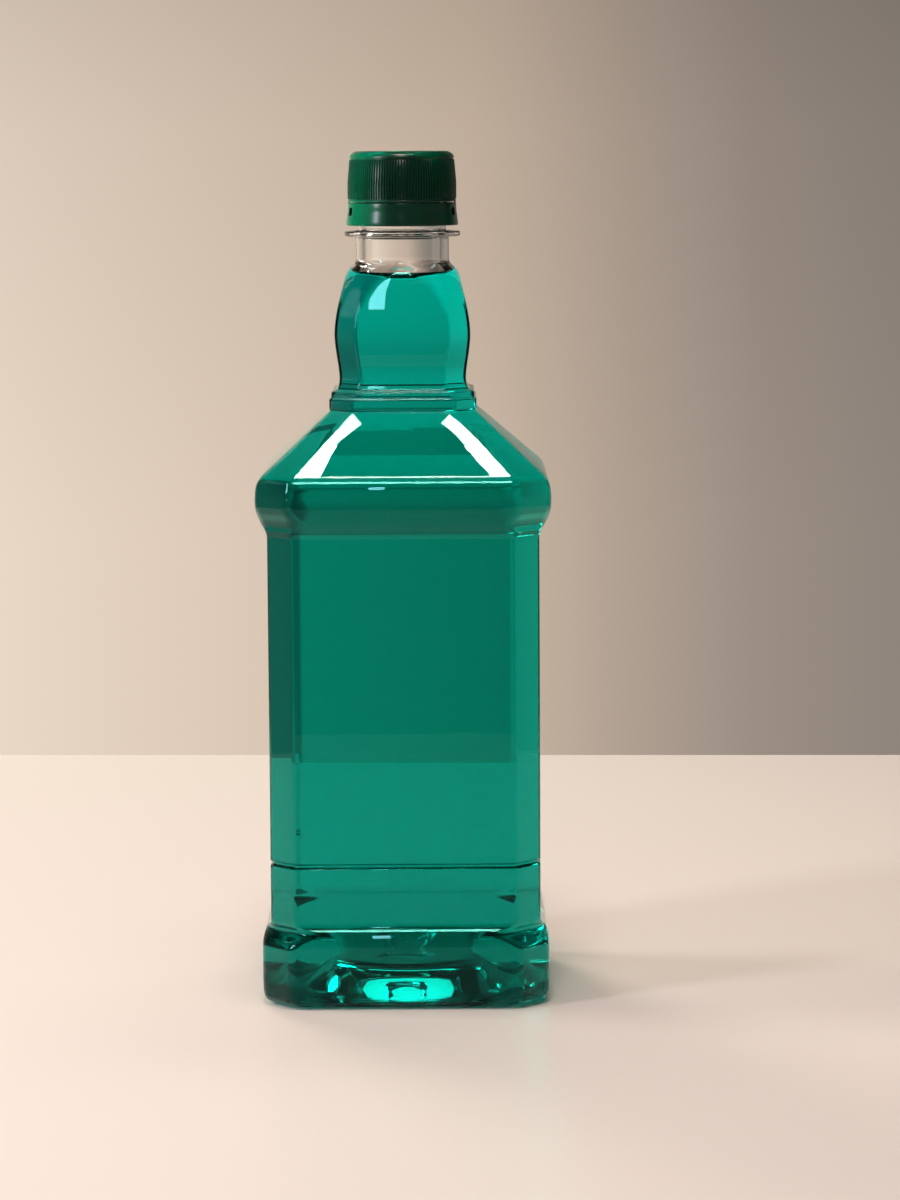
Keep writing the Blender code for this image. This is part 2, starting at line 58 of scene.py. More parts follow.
def selectOnly(obj):
    deselectAll()
    obj.select_set(True)
    bpy.context.view_layer.objects.active = obj


def applyModifier(obj, modifier):
    selectOnly(obj)
    bpy.ops.object.modifier_apply(modifier=modifier.name)


def combine(obj, other, operation):  # an exact Boolean, applied, and the other piece removed
    modifier = obj.modifiers.new(operation.lower(), "BOOLEAN")
    modifier.operation = operation
    modifier.solver = "EXACT"
    modifier.object = other
    applyModifier(obj, modifier)
    bpy.data.objects.remove(other, do_unlink=True)


def placeRing(obj, ring):  # the ring that was just extruded is the selected one
    bm = bmesh.from_edit_mesh(obj.data)
    order = bm.verts.layers.int["ringOrder"]
    for vert in bm.verts:
        if vert.select:
            vert.co = ring[vert[order]]
    bmesh.update_edit_mesh(obj.data, loop_triangles=False, destructive=False)


def closeRing():  # a fan round the middle of the selected ring
    bpy.ops.mesh.edge_face_add()
    bpy.ops.mesh.poke()


def turnNormalsOut():  # and back to Object Mode
    bpy.ops.mesh.select_all(action="SELECT")
    bpy.ops.mesh.normals_make_consistent(inside=False)
    bpy.ops.object.mode_set(mode="OBJECT")


def extrudeRings(name, rings, closed=True):  # a skin through all the rings, fanned shut at its ends
    deselectAll()
    count = len(rings[0])
    bpy.ops.mesh.primitive_circle_add(vertices=count, radius=1 * mm, fill_type="NOTHING")
    obj = bpy.context.object
    obj.name = name
    obj.data.name = name
    order = obj.data.attributes.new("ringOrder", "INT", "POINT")
    order.data.foreach_set("value", list(range(count)))
    bpy.ops.object.mode_set(mode="EDIT")
    bpy.ops.mesh.select_mode(type="VERT")
    bpy.ops.mesh.select_all(action="SELECT")
    placeRing(obj, rings[0])
    for ring in rings[1:]:
        bpy.ops.mesh.extrude_region_move()
        placeRing(obj, ring)
    ends = (0, count * (len(rings) - 1)) if closed else ()
    for first in ends:
        bpy.ops.mesh.select_all(action="DESELECT")
        bpy.ops.object.mode_set(mode="OBJECT")
        for vert in obj.data.vertices[first:first + count]:
            vert.select = True
        bpy.ops.object.mode_set(mode="EDIT")
        closeRing()
    turnNormalsOut()
    obj.data.attributes.remove(obj.data.attributes["ringOrder"])
    return obj


def smooth(obj, angle, keepFlats=False):  # keepFlats: the big faces stay flat, the bends take the turn
    selectOnly(obj)
    bpy.ops.object.shade_smooth_by_angle(angle=angle * degree)
    if keepFlats:
        weighted = obj.modifiers.new("keepFlats", "WEIGHTED_NORMAL")
        weighted.keep_sharp = True
        applyModifier(obj, weighted)


def softened(rows, steps):  # a row starts with radius and height, and ends with how far it is softened
    points = []
    for index, row in enumerate(rows):
        here = Vector(row[:-1])
        if index in (0, len(rows) - 1) or row[-1] == 0:
            points.append(here)
            continue
        back = here - Vector(rows[index - 1][:-1])
        ahead = Vector(rows[index + 1][:-1]) - here
        start = here - back * min(row[-1] / math.hypot(back[0], back[1]), 0.5)
        end = here + ahead * min(row[-1] / math.hypot(ahead[0], ahead[1]), 0.5)
        for step in range(steps + 1):
            t = step / steps
            point = start * (1 - t) ** 2 + here * 2 * t * (1 - t) + end * t**2
            if (point - points[-1]).length > samePoint:
                points.append(point)
    return points


def turnedRing(radius, height, count):
    ring = []
    for index in range(count):
        angle = 2 * math.pi * index / count
        ring.append(Vector((radius * math.cos(angle), radius * math.sin(angle), height)) * mm)
    return ring


# Materials


def hexColor(code):  # sRGB to linear
    values = []
    for start in (1, 3, 5):
        value = int(code[start:start + 2], 16) / 255
        values.append(value / 12.92 if value <= 0.04045 else ((value + 0.055) / 1.055) ** 2.4)
    return (*values, 1)


def addNode(tree, kind, settings=None, inputs=None):
    node = tree.nodes.new(kind)
    for name, value in (settings or {}).items():
        setattr(node, name, value)
    for name, value in (inputs or {}).items():
        if isinstance(value, bpy.types.NodeSocket):
            tree.links.new(value, node.inputs[name])
        else:
            node.inputs[name].default_value = value
    return node


def newMaterial(name, inputs):
    material = bpy.data.materials.new(name)
    material.use_nodes = True
    tree = material.node_tree
    shader = tree.nodes["Principled BSDF"]
    for key, value in inputs.items():
        shader.inputs[key].default_value = value
    return material, tree, shader


def addBump(tree, shader, height, depth):
    bump = addNode(tree, "ShaderNodeBump", {}, {
        "Height": height,
        "Strength": 1.0,
        "Distance": depth * mm,
    })
    tree.links.new(bump.outputs["Normal"], shader.inputs["Normal"])


def giveMaterial(obj, material):
    obj.data.materials.clear()
    obj.data.materials.append(material)


def giveTwoMaterials(obj, first, second, rings, secondFrom):  # the second one from that ring onwards
    giveMaterial(obj, first)
    obj.data.materials.append(second)
    count = len(rings[0])
    for face in obj.data.polygons:
        face.material_index = int(min(face.vertices) // count >= secondFrom)


# PET bottle: stretch-blown, so it is glass-clear and very faintly wavy. Where it is wet inside, light
# only bends by the ratio of the two, so the wall hardly shows there. Its sheen tints what it mirrors
petLook = {"waveWidth": 9.0, "waveHeight": 0.005, "ior": 1.575, "sheen": "#64C4BC"}
waterIor = 1.333


def blownPet(name, ior):
    material, tree, shader = newMaterial(name, {
        "Base Color": hexColor("#FDFFFE"),
        "Transmission Weight": 1.0,
        "Roughness": 0.0,
        "IOR": ior,
        "Specular Tint": hexColor(petLook["sheen"]),
    })
    place = addNode(tree, "ShaderNodeTexCoord")
    waves = addNode(tree, "ShaderNodeTexNoise", {}, {
        "Vector": place.outputs["Object"],
        "Scale": 1 / (petLook["waveWidth"] * mm),
        "Detail": 1.5,
        "Roughness": 0.4,
    })
    addBump(tree, shader, waves.outputs["Fac"], petLook["waveHeight"])
    return material


# Mouthwash: dyed water, which swallows red light within millimetres and lets green and blue through.
# It bends light at its free surface, and against the wall (IOR 1) the plastic already does that
liquidLook = {"wallIor": 1.0, "density": 330.0, "color": "#00FAF9"}


def dyedWater(name, ior):
    material, tree, _ = newMaterial(name, {
        "Base Color": hexColor("#FFFFFF"),
        "Transmission Weight": 1.0,
        "Roughness": 0.0,
        "IOR": ior,
    })
    volume = addNode(tree, "ShaderNodeVolumeAbsorption", {}, {
        "Color": hexColor(liquidLook["color"]),
        "Density": liquidLook["density"],
    })
    tree.links.new(volume.outputs["Volume"], tree.nodes["Material Output"].inputs["Volume"])
    return material


# Polypropylene: injection moulded and dyed through, with a soft gloss and a little light inside
capLook = {
    "color": "#002A1B",
    "shade": "#002618",
    "cloudWidth": 6.0,
    "grainWidth": 0.35,
    "grainHeight": 0.004,
}


def mouldedPolypropylene(name):
    material, tree, shader = newMaterial(name, {
        "IOR": 1.49,
        "Roughness": 0.22,
        "Specular IOR Level": 0.35,
        "Subsurface Weight": 0.12,
        "Subsurface Radius": (0.2, 1.0, 0.5),
        "Subsurface Scale": 0.8 * mm,
    })
    place = addNode(tree, "ShaderNodeTexCoord")
    clouds = addNode(tree, "ShaderNodeTexNoise", {}, {
        "Vector": place.outputs["Object"],
        "Scale": 1 / (capLook["cloudWidth"] * mm),
        "Detail": 2.0,
    })
    colors = addNode(tree, "ShaderNodeMix", {"data_type": "RGBA"}, {
        0: clouds.outputs["Fac"],
        6: hexColor(capLook["color"]),
        7: hexColor(capLook["shade"]),
    })
    grain = addNode(tree, "ShaderNodeTexNoise", {}, {
        "Vector": place.outputs["Object"],
        "Scale": 1 / (capLook["grainWidth"] * mm),
        "Detail": 2.0,
    })
    tree.links.new(colors.outputs[2], shader.inputs["Base Color"])
    addBump(tree, shader, grain.outputs["Fac"], capLook["grainHeight"])
    return material


# Foamed polyethylene: the liner's disc, matt with fine cells
linerLook = {"color": "#E9EAE6", "cellWidth": 0.5, "cellHeight": 0.02}


def foamedPolyethylene():
    material, tree, shader = newMaterial("foamedPolyethylene", {
        "Base Color": hexColor(linerLook["color"]),
        "IOR": 1.5,
        "Roughness": 0.62,
    })
    place = addNode(tree, "ShaderNodeTexCoord")
    cells = addNode(tree, "ShaderNodeTexVoronoi", {}, {
        "Vector": place.outputs["Object"],
        "Scale": 1 / (linerLook["cellWidth"] * mm),
    })
    addBump(tree, shader, cells.outputs["Distance"], linerLook["cellHeight"])
    return material


# how high the bottle is filled, and how far the liquid presses into the wall. Its edge climbs the wall:
# how far in from the rim, and the share of the climb that is left there. The flat part's last ring is a
# small share of the one before
liquidLevel = {
    "height": 203.8,
    "climb": 1.6,
    "overlap": 0.04,
    "edge": ((0.25, 0.72), (0.6, 0.46), (1.1, 0.24), (1.8, 0.1), (2.8, 0.0)),
    "middleShare": 0.05,
}


# The bottle's shell: one skin from the lip down to the base, and back up inside

# how far each form's corner is cut back, and how round the cut's edges are, in mm
corners = {
    "barrel": (5.8, 1.8),
    "collar": (5.8, 2.2),
    "shoulder": (7.6, 4.0),
    "bulge": (9.4, 5.0),
    "body": (7.0, 1.8),
    "foot": (8.4, 4.0),
}

# half width, height, form, how square it is, how far it is softened, wall where the inside follows it
bottleRows = [
    (12.0, 236.9, "barrel", 0, 0, None),
    (12.47, 236.9, "barrel", 0, 0.45, None),
    (12.47, 224.1, "barrel", 0, 0.2, None),
    (14.0, 222.95, "barrel", 0, 0.3, None),
    (14.0, 222.1, "barrel", 0, 0.2, None),
    (12.47, 222.1, "barrel", 0, 0.15, None),
    (12.47, 217.75, "barrel", 0, 0.3, None),
    (16.2, 217.35, "barrel", 0, 0.25, None),
    (16.5, 217.1, "barrel", 0, 0.2, None),
    (16.5, 216.2, "barrel", 0, 0.2, None),
    (16.2, 215.95, "barrel", 0, 0.25, None),
    (13.25, 215.55, "barrel", 0, 0.4, None),
    (13.25, 208.7, "barrel", 0, 0.8, 2.38),
    (15.75, 206.1, "barrel", 0.1, 1.3, None),
    (16.55, 203.6, "barrel", 0.55, 2.0, 1.35),
    (17.6, 199.4, "barrel", 0.8, 3.0, 1.3),
    (18.5, 195.7, "barrel", 0.95, 3.0, 1.3),
    (19.15, 191.2, "barrel", 1, 3.0, 1.3),
    (19.3, 187.6, "barrel", 1, 3.0, 1.3),
    (18.75, 183.0, "barrel", 1, 3.0, 1.3),
    (18.1, 178.9, "barrel", 1, 2.5, 1.3),
    (17.85, 175.4, "barrel", 1, 2.0, 1.3),
    (18.5, 172.9, "collar", 1, 0.8, None),
    (20.25, 172.5, "collar", 1, 0.5, None),
    (20.25, 170.95, "collar", 1, 0.3, 0.9),
    (20.4, 170.75, "collar", 1, 0.15, None),
    (20.85, 170.45, "collar", 1, 0.4, None),
    (20.85, 167.5, "collar", 1, 0.4, None),
    (20.5, 167.2, "collar", 1, 0.15, None),
    (20.8, 166.9, "collar", 1, 0.3, 0.9),
    (39.8, 149.8, "shoulder", 1, 1.1, 0.9),
    (41.2, 147.6, "bulge", 1, 2.0, None),
    (41.6, 143.8, "bulge", 1, 3.0, 0.8),
    (41.4, 140.3, "bulge", 1, 3.0, 0.7),
    (40.5, 137.2, "bulge", 0.9, 2.5, 0.7),
    (38.5, 134.6, "body", 1, 1.0, None),
    (38.15, 133.2, "body", 1, 0.8, 0.7),
    (38.15, 41.3, "body", 1, 0.15, 0.7),
    (37.35, 40.9, "body", 1, 0.1, None),
    (37.3, 40.6, "body", 1, 0.1, 0.7),
    (37.35, 40.3, "body", 1, 0.1, None),
    (38.15, 39.8, "body", 1, 0.15, 0.7),
    (38.15, 23.5, "body", 1, 1.0, 0.7),
    (39.7, 21.4, "foot", 0.75, 1.2, 0.9),
    (40.6, 18.6, "foot", 1, 2.0, 1.1),
    (40.6, 4.6, "foot", 1, 2.0, 1.1),
    (40.0, 1.2, "foot", 1, 1.6, 1.1),
    (37.0, 0.0, "foot", 1, 1.6, 1.3),
    (31.5, 0.0, "barrel", 0, 1.2, 1.6),
]
circleCut = 2 - math.sqrt(2)  # the cut of a corner that is a full circle, over its radius

# the groove between these heights, and from where to where, towards the back, it fades
groove = {"low": 39.2, "high": 41.9, "fadesFrom": 24.0, "fadesTo": 36.0}

# the push-up's rows are radius, height and how far they are softened, and the arc shares are where the
# points lie along each eighth of a circle
shellLook = {
    "boreRadius": 10.87,
    "boreEdge": 0.4,
    "boreEdgeDepth": 0.6,
    "bendSteps": 4,
    "insideBend": 1.2,
    "leastRounding": 0.25,
    "poleRadius": 1.2,
    "poleRise": 0.2,
    "baseWall": 1.8,
    "pushUp": (
        (29.6, 0.35, 1.2),
        (27.6, 1.6, 2.0),
        (22.4, 6.5, 2.0),
        (19.6, 7.9, 1.5),
        (17.0, 8.0, 1.0),
        (12.0, 8.0, 1.0),
    ),
    "bossRadius": 7.2,
    "bossDraft": 0.7,
    "bossDepth": 1.4,
    "arcShares": (0.015, 0.1, 0.24, 0.41, 0.59, 0.76, 0.9, 0.985),
}


def fullRow(halfWidth, height, form, square, soften):  # its corner goes from a circle's to the form's
    cut, rounding = corners[form]
    return [
        halfWidth,
        height,
        mix(circleCut * halfWidth, cut, square),
        mix(halfWidth, rounding, square),
        soften,
    ]


def roundRow(radius, height, soften):
    return fullRow(radius, height, "barrel", 0, soften)


def poleRow(row):  # a small ring just above a row, for the fan that closes the skin
    return roundRow(shellLook["poleRadius"], row[1] + shellLook["poleRise"], 0)


def sectionRing(point):  # a square with cut corners, whose every edge is an eighth of a circle
    halfWidth, height, cut, rounding = point
    far = halfWidth - rounding
    near = halfWidth - cut - rounding * (math.sqrt(2) - 1)
    ring = []
    for quarter in range(4):
        turn = Matrix.Rotation(quarter * math.pi / 2, 3, "Z")
        for x, y, start in ((far, near, 0), (near, far, math.pi / 4)):
            for share in shellLook["arcShares"]:
                angle = start + share * math.pi / 4
                across = x + rounding * math.cos(angle)
                along = y + rounding * math.sin(angle)
                ring.append((turn @ Vector((across, along, height))) * mm)
    return ring


def pathRings(path):  # the groove dies out towards the back: there it is filled to the last ring above
    rings = []
    plain = path[0]
    fadeLength = groove["fadesTo"] - groove["fadesFrom"]
    for point in path:
        ring = sectionRing(point)
        if groove["low"] < point[1] < groove["high"]:
            whole = plain.copy()
            whole[1] = point[1]
            for index, filled in enumerate(sectionRing(whole)):
                share = (filled.y / mm - groove["fadesFrom"]) / fadeLength
                ring[index] = ring[index].lerp(filled, min(max(share, 0), 1))
        else:
            plain = point
        rings.append(ring)
    return rings


def domeRows():  # up from the standing ring to a flat top, with the gate's boss in its middle
    wall = shellLook["baseWall"]
    rows = []
    for radius, height, soften in shellLook["pushUp"]:
        rows.append((radius, height, "barrel", 0, soften, wall))
    top = rows[-1][1]
    boss = top - shellLook["bossDepth"]
    rows.append((shellLook["bossRadius"] + shellLook["bossDraft"], top, "barrel", 0, 0.6, wall))
    rows.append((shellLook["bossRadius"], boss, "barrel", 0, 0.5, None))
    rows.append((shellLook["poleRadius"], boss, "barrel", 0, 0, None))
    return rows


def insideRows(rows, shift):  # the outer rows moved in along their normals by the wall, less a shift
    found = []
    for before, here, after in zip(rows, rows[1:], rows[2:]):
        wall = here[5]
        if wall is None:
            continue
        across = Vector((after[0] - before[0], after[1] - before[1])).normalized()
        depth = wall - shift
        inward = -across.y * depth
        row = fullRow(*here[:4], max(here[4], shellLook["insideBend"]))
        row[0] -= inward
        row[1] -= across.x * depth
        row[2] -= circleCut * inward
        row[3] = max(row[3] - inward, shellLook["leastRounding"] * row[3])
        found.append(row)
    return found


def splitAt(path, height):  # a path that goes down, with one more point where it passes a height
    index = [point[1] > height for point in path].index(False)
    above, below = path[index - 1], path[index]
    share = (above[1] - height) / (above[1] - below[1])
    return path[:index] + [above.lerp(below, share)] + path[index:], index


def makeBottle():
    rows = bottleRows + domeRows()
    outside = softened([fullRow(*row[:5]) for row in rows], shellLook["bendSteps"])
    inside = insideRows(rows, 0)
    bore = shellLook["boreRadius"]
    lip = bottleRows[0][1]
    inside[0] = roundRow(bore, inside[0][1], 1.0)  # the neck's wall is what its bore leaves
    inside.append(poleRow(inside[-1]))
    top = [
        roundRow(bore + shellLook["boreEdge"], lip, 0.3),
        roundRow(bore, lip - shellLook["boreEdgeDepth"], 0.3),
    ]
    skin = softened(top + inside, shellLook["bendSteps"])
    skin, wet = splitAt(skin, liquidLevel["height"] + liquidLevel["climb"])
    rings = pathRings(outside[::-1] + skin)
    shell = extrudeRings("bottleShell", rings)
    dryPet = blownPet("blownPet", petLook["ior"])
    wetPet = blownPet("wetPet", petLook["ior"] / waterIor)
    giveTwoMaterials(shell, dryPet, wetPet, rings, len(outside) + wet)
    combine(shell, makeThread("neckThread", neckThread), "UNION")
    smooth(shell, 45, keepFlats=True)
    return shell


# Both threads: a section swept down a right-hand screw, running out at both of its ends

screw = {"pitch": 3.18, "turnSteps": 64, "runOutSteps": 4, "firstStep": 0.3}
neckThread = {
    "root": 12.1,
    "crest": 13.715,
    "height": 234.7,
    "baseWidth": 1.7,
    "crestWidth": 0.8,
    "turns": 1.9,
}
capThread = {
    "root": 14.4,
    "crest": 12.8,
    "height": 232.67,
    "baseWidth": 1.6,
    "crestWidth": 0.7,
    "turns": 1.6,
}


def makeThread(name, size):
    deselectAll()
    bpy.ops.mesh.primitive_circle_add(vertices=4, radius=1 * mm, fill_type="NOTHING")
    thread = bpy.context.object
    thread.name = name
    section = (
        (size["root"], size["height"] + size["baseWidth"] / 2),
        (size["crest"], size["height"] + size["crestWidth"] / 2),
        (size["crest"], size["height"] - size["crestWidth"] / 2),
        (size["root"], size["height"] - size["baseWidth"] / 2),
    )
    for vert, (radius, z) in zip(thread.data.vertices, section):
        vert.co = (radius * mm, 0, z * mm)
    steps = round(size["turns"] * screw["turnSteps"])
    sweep = thread.modifiers.new("sweep", "SCREW")
    sweep.axis = "Z"
    sweep.angle = -size["turns"] * 2 * math.pi
    sweep.screw_offset = -size["turns"] * screw["pitch"] * mm
    sweep.steps = steps
    sweep.render_steps = steps
    sweep.use_merge_vertices = False
    applyModifier(thread, sweep)
    count = len(thread.data.vertices) // (steps + 1)
    for vert in thread.data.vertices:
        step = vert.index // count
        share = min(1, (min(step, steps - step) + screw["firstStep"]) / screw["runOutSteps"])
        reach = math.hypot(vert.co.x, vert.co.y)
        wanted = mix(size["root"] * mm, reach, share)
        vert.co.x *= wanted / reach
        vert.co.y *= wanted / reach
    bpy.ops.object.mode_set(mode="EDIT")
    bpy.ops.mesh.select_all(action="DESELECT")
    bpy.ops.mesh.select_non_manifold()
    bpy.ops.mesh.fill()
    turnNormalsOut()
    return thread


bottle = makeBottle()
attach(bottle, "bottle")
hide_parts("bottle")
print("bottle shell done", len(bottle.data.polygons))


# The liquid: fills the shell, and presses into its wall by a hair so that no air lies between


def makeLiquid():
    rows = insideRows(bottleRows + domeRows(), liquidLevel["overlap"])
    rows.append(poleRow(rows[-1]))
    path = softened(rows, shellLook["bendSteps"])
    path, start = splitAt(path, liquidLevel["height"] + liquidLevel["climb"])
    rim, below = path[start], path[start + 1:]
    surface = []
    for inward, rise in liquidLevel["edge"]:
        point = rim.copy()
        point[0] -= inward
        point[1] = liquidLevel["height"] + rise * liquidLevel["climb"]
        point[2] -= circleCut * inward
        point[3] -= inward
        surface.append(point)
    middle = surface[-1].copy()
    for index in (0, 2, 3):
        middle[index] *= liquidLevel["middleShare"]
    surface.append(middle)
    rings = pathRings(surface[::-1] + [rim] + below)
    liquid = extrudeRings("liquidFill", rings)
    freeWater = dyedWater("dyedWater", waterIor)
    wallWater = dyedWater("dyedWaterAtWall", liquidLook["wallIor"])
    giveTwoMaterials(liquid, freeWater, wallWater, rings, len(surface))
    return liquid


liquid = makeLiquid()
smooth(liquid, 60, keepFlats=True)
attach(liquid, "bottle")
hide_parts("liquid_fill")
print("liquid done", len(liquid.data.polygons))


# The screw cap: fine ribs round its grip, a rounded top edge and a plain ledge above the ribs

capSize = {
    "top": 239.98,
    "dimple": 0.12,
    "ceiling": 238.4,
    "bottom": 225.7,
    "insideRadius": 14.045,
    "poleRadius": 1.0,
    "crownSteps": 5,
    "skirtSteps": 3,
    "ribs": 120,
    "ribDepth": 0.45,
    "ribTop": 237.75,
    "ribMiddle": 231.3,
    "ribBottom": 226.35,
    "grooveRadius": 14.6,
    "gripRadius": 15.5,
    "footRadius": 15.2,
    "hemRadius": 15.45,
}
ribPattern = (0, 0, 1, 1)  # two points on a rib's root, two on its crest


def ribbedRing(radius, height, depth):
    count = capSize["ribs"] * len(ribPattern)
    ring = []
    for index in range(count):
        angle = 2 * math.pi * index / count
        here = radius - depth * (1 - ribPattern[index % len(ribPattern)])
        ring.append(Vector((here * math.cos(angle), here * math.sin(angle), height)) * mm)
    return ring


def makeCap():
    count = capSize["ribs"] * len(ribPattern)
    top = capSize["top"]
    ribTop = capSize["ribTop"]
    ribBottom = capSize["ribBottom"]
    bottom = capSize["bottom"]
    ceiling = capSize["ceiling"]
    inside = capSize["insideRadius"]
    crown = softened([  # radius, height and how far it is softened
        [capSize["poleRadius"], top - capSize["dimple"], 0],
        [9.0, top - capSize["dimple"], 1.5],
        [11.4, top, 0.8],
        [13.3, top, 1.2],
        [14.75, top - 1.05, 0.9],
        [14.95, ribTop + 0.35, 0.12],
        [capSize["grooveRadius"], ribTop + 0.2, 0],
    ], capSize["crownSteps"])
    grip = (  # radius, height and how deep the ribs are
        (capSize["grooveRadius"], ribTop + 0.05, 0),
        (14.97, ribTop - 0.3, capSize["ribDepth"]),
        (capSize["gripRadius"], capSize["ribMiddle"], capSize["ribDepth"]),
        (capSize["gripRadius"], ribBottom + 0.25, capSize["ribDepth"]),
        (capSize["footRadius"], ribBottom, 0),
    )
    skirt = softened([
        [capSize["footRadius"], ribBottom - 0.05, 0],
        [capSize["hemRadius"], ribBottom - 0.2, 0.1],
        [capSize["hemRadius"], bottom, 0.12],
        [inside + 0.2, bottom, 0.15],
        [inside, bottom + 0.4, 0.2],
        [inside, ceiling - 0.8, 0.3],
        [inside - 0.8, ceiling, 0.3],
        [capSize["poleRadius"], ceiling, 0],
    ], capSize["skirtSteps"])
    rings = [turnedRing(*point, count) for point in crown]
    rings += [ribbedRing(*row) for row in grip]
    rings += [turnedRing(*point, count) for point in skirt]
    cap = extrudeRings("screwCap", rings)
    combine(cap, makeThread("capThread", capThread), "UNION")
    smooth(cap, 50)
    return cap


cap = makeCap()
giveMaterial(cap, mouldedPolypropylene("mouldedPolypropylene"))
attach(cap, "cap")
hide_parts("screw_cap")
print("screw cap done", len(cap.data.polygons))


# The tamper band: plain outside, flared at its foot, with a catch inside and two windows at each side

bandSize = {
    "top": 225.4,
    "bottom": 219.0,
    "insideRadius": 14.55,
    "footRadius": 15.95,
    "catchRadius": 12.92,
    "sides": 128,
    "bendSteps": 3,
    "bridges": 10,
    "bridgeRadius": 15.02,
    "bridgeMiddle": 225.45,
    "bridge": (0.5, 0.9, 0.48),
    "windows": (-20, 20),
    "window": (60, 2.6, 2.2),
    "windowMiddle": 223.0,
}


def makeBand():
    top = bandSize["top"]
    bottom = bandSize["bottom"]
    profile = softened([  # radius, height and how far it is softened
        [bandSize["insideRadius"], top, 0],
        [15.4, top, 0.15],
        [15.5, top - 2.4, 0.8],
        [15.6, top - 3.0, 0.5],
        [bandSize["footRadius"], bottom + 0.8, 0.6],
        [bandSize["footRadius"], bottom, 0.2],
        [15.0, bottom, 0.2],
        [14.0, 219.7, 0.2],
        [bandSize["catchRadius"], 220.8, 0.15],
        [bandSize["catchRadius"], 221.8, 0.15],
        [bandSize["insideRadius"], 221.3, 0.2],
        [bandSize["insideRadius"], top, 0],
    ], bandSize["bendSteps"])
    rings = [turnedRing(*point, bandSize["sides"]) for point in profile[:-1]]
    band = extrudeRings("tamperBand", rings, closed=False)
    selectOnly(band)
    bpy.ops.object.mode_set(mode="EDIT")
    bpy.ops.mesh.select_all(action="DESELECT")
    bpy.ops.mesh.select_non_manifold()
    bpy.ops.mesh.bridge_edge_loops()
    turnNormalsOut()
    combine(band, makeBridges(), "UNION")
    for angle in bandSize["windows"]:
        place = Vector((0, 0, bandSize["windowMiddle"]))
        combine(band, makeBar(place, angle * degree, bandSize["window"]), "DIFFERENCE")
    smooth(band, 35)
    return band


def makeBar(place, angle, size):
    deselectAll()
    bpy.ops.mesh.primitive_cube_add(size=1, location=place * mm, rotation=(0, 0, angle))
    bar = bpy.context.object
    bar.scale = [side * mm for side in size]
    return bar


def makeBridges():
    made = []
    for index in range(bandSize["bridges"]):
        angle = 2 * math.pi * index / bandSize["bridges"]
        across = bandSize["bridgeRadius"] * math.cos(angle)
        along = bandSize["bridgeRadius"] * math.sin(angle)
        place = Vector((across, along, bandSize["bridgeMiddle"]))
        made.append(makeBar(place, angle, bandSize["bridge"]))
    selectOnly(made[0])
    for bridge in made[1:]:
        bridge.select_set(True)
    bpy.ops.object.join()
    bpy.ops.object.transform_apply(location=True, rotation=True, scale=True)
    return bpy.context.object


band = makeBand()
giveMaterial(band, mouldedPolypropylene("mouldedBand"))
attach(band, "band")
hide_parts("tamper_band")
print("tamper band done", len(band.data.polygons))

giveMaterial(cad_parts["cap_liner"], foamedPolyethylene())


# The studio: a pale table, a backdrop all round with painted light and shade, soft light, and the
# photograph's viewing angle

studio = {
    "cameraAway": 1.14438,
    "cameraRight": 0.013,
    "cameraHeight": 0.245,
    "lens": 120,
    "lookDown": 6.66,
    "roll": -0.34,
    "tableWidth": 1.0,
    "tableDepth": 0.98,
    "tableBack": 0.424,
    "tableTurn": -2.17,
    "tableColor": "#D8D3CA",
    "bounces": 32,
}


def makeStage():
    deselectAll()
    place = (0, studio["tableBack"] - studio["tableDepth"] / 2, 0)
    turn = (0, 0, studio["tableTurn"] * degree)
    bpy.ops.mesh.primitive_plane_add(size=1, location=place, rotation=turn)
    table = bpy.context.object
    table.name = "studioTable"
    table.scale = (studio["tableWidth"], studio["tableDepth"], 1)
    bpy.ops.object.transform_apply(location=True, rotation=True, scale=True)
    paint = {"Base Color": hexColor(studio["tableColor"]), "Roughness": 0.4}
    giveMaterial(table, newMaterial("tablePaint", paint)[0])


def addLight(name, place, target, size, turn, power, color, shownBy, spread=180):
    light = bpy.data.lights.new(name, "AREA")
    light.shape = "RECTANGLE"
    light.size, light.size_y = size
    light.energy = power
    light.spread = spread * degree
    light.color = hexColor(color)[:3]
    obj = bpy.data.objects.new(name, light)
    bpy.context.scene.collection.objects.link(obj)
    obj.location = place
    aim = (Vector(target) - Vector(place)).to_track_quat("-Z", "Y").to_matrix()
    obj.rotation_euler = (aim @ Matrix.Rotation(turn * degree, 3, "Z")).to_euler()
    obj.visible_camera = False
    obj.visible_glossy = "gloss" in shownBy
    obj.visible_transmission = "glass" in shownBy


def addCamera():
    camera = bpy.data.cameras.new("photoCamera")
    camera.lens = studio["lens"]
    camera.sensor_width = 36
    camera.clip_start = 0.01
    obj = bpy.data.objects.new("photoCamera", camera)
    bpy.context.scene.collection.objects.link(obj)
    look = Matrix.Rotation((90 - studio["lookDown"]) * degree, 4, "X")
    roll = Matrix.Rotation(studio["roll"] * degree, 4, "Z")
    place = Matrix.Translation((studio["cameraRight"], -studio["cameraAway"], studio["cameraHeight"]))
    obj.matrix_world = place @ look @ roll
    bpy.context.scene.camera = obj
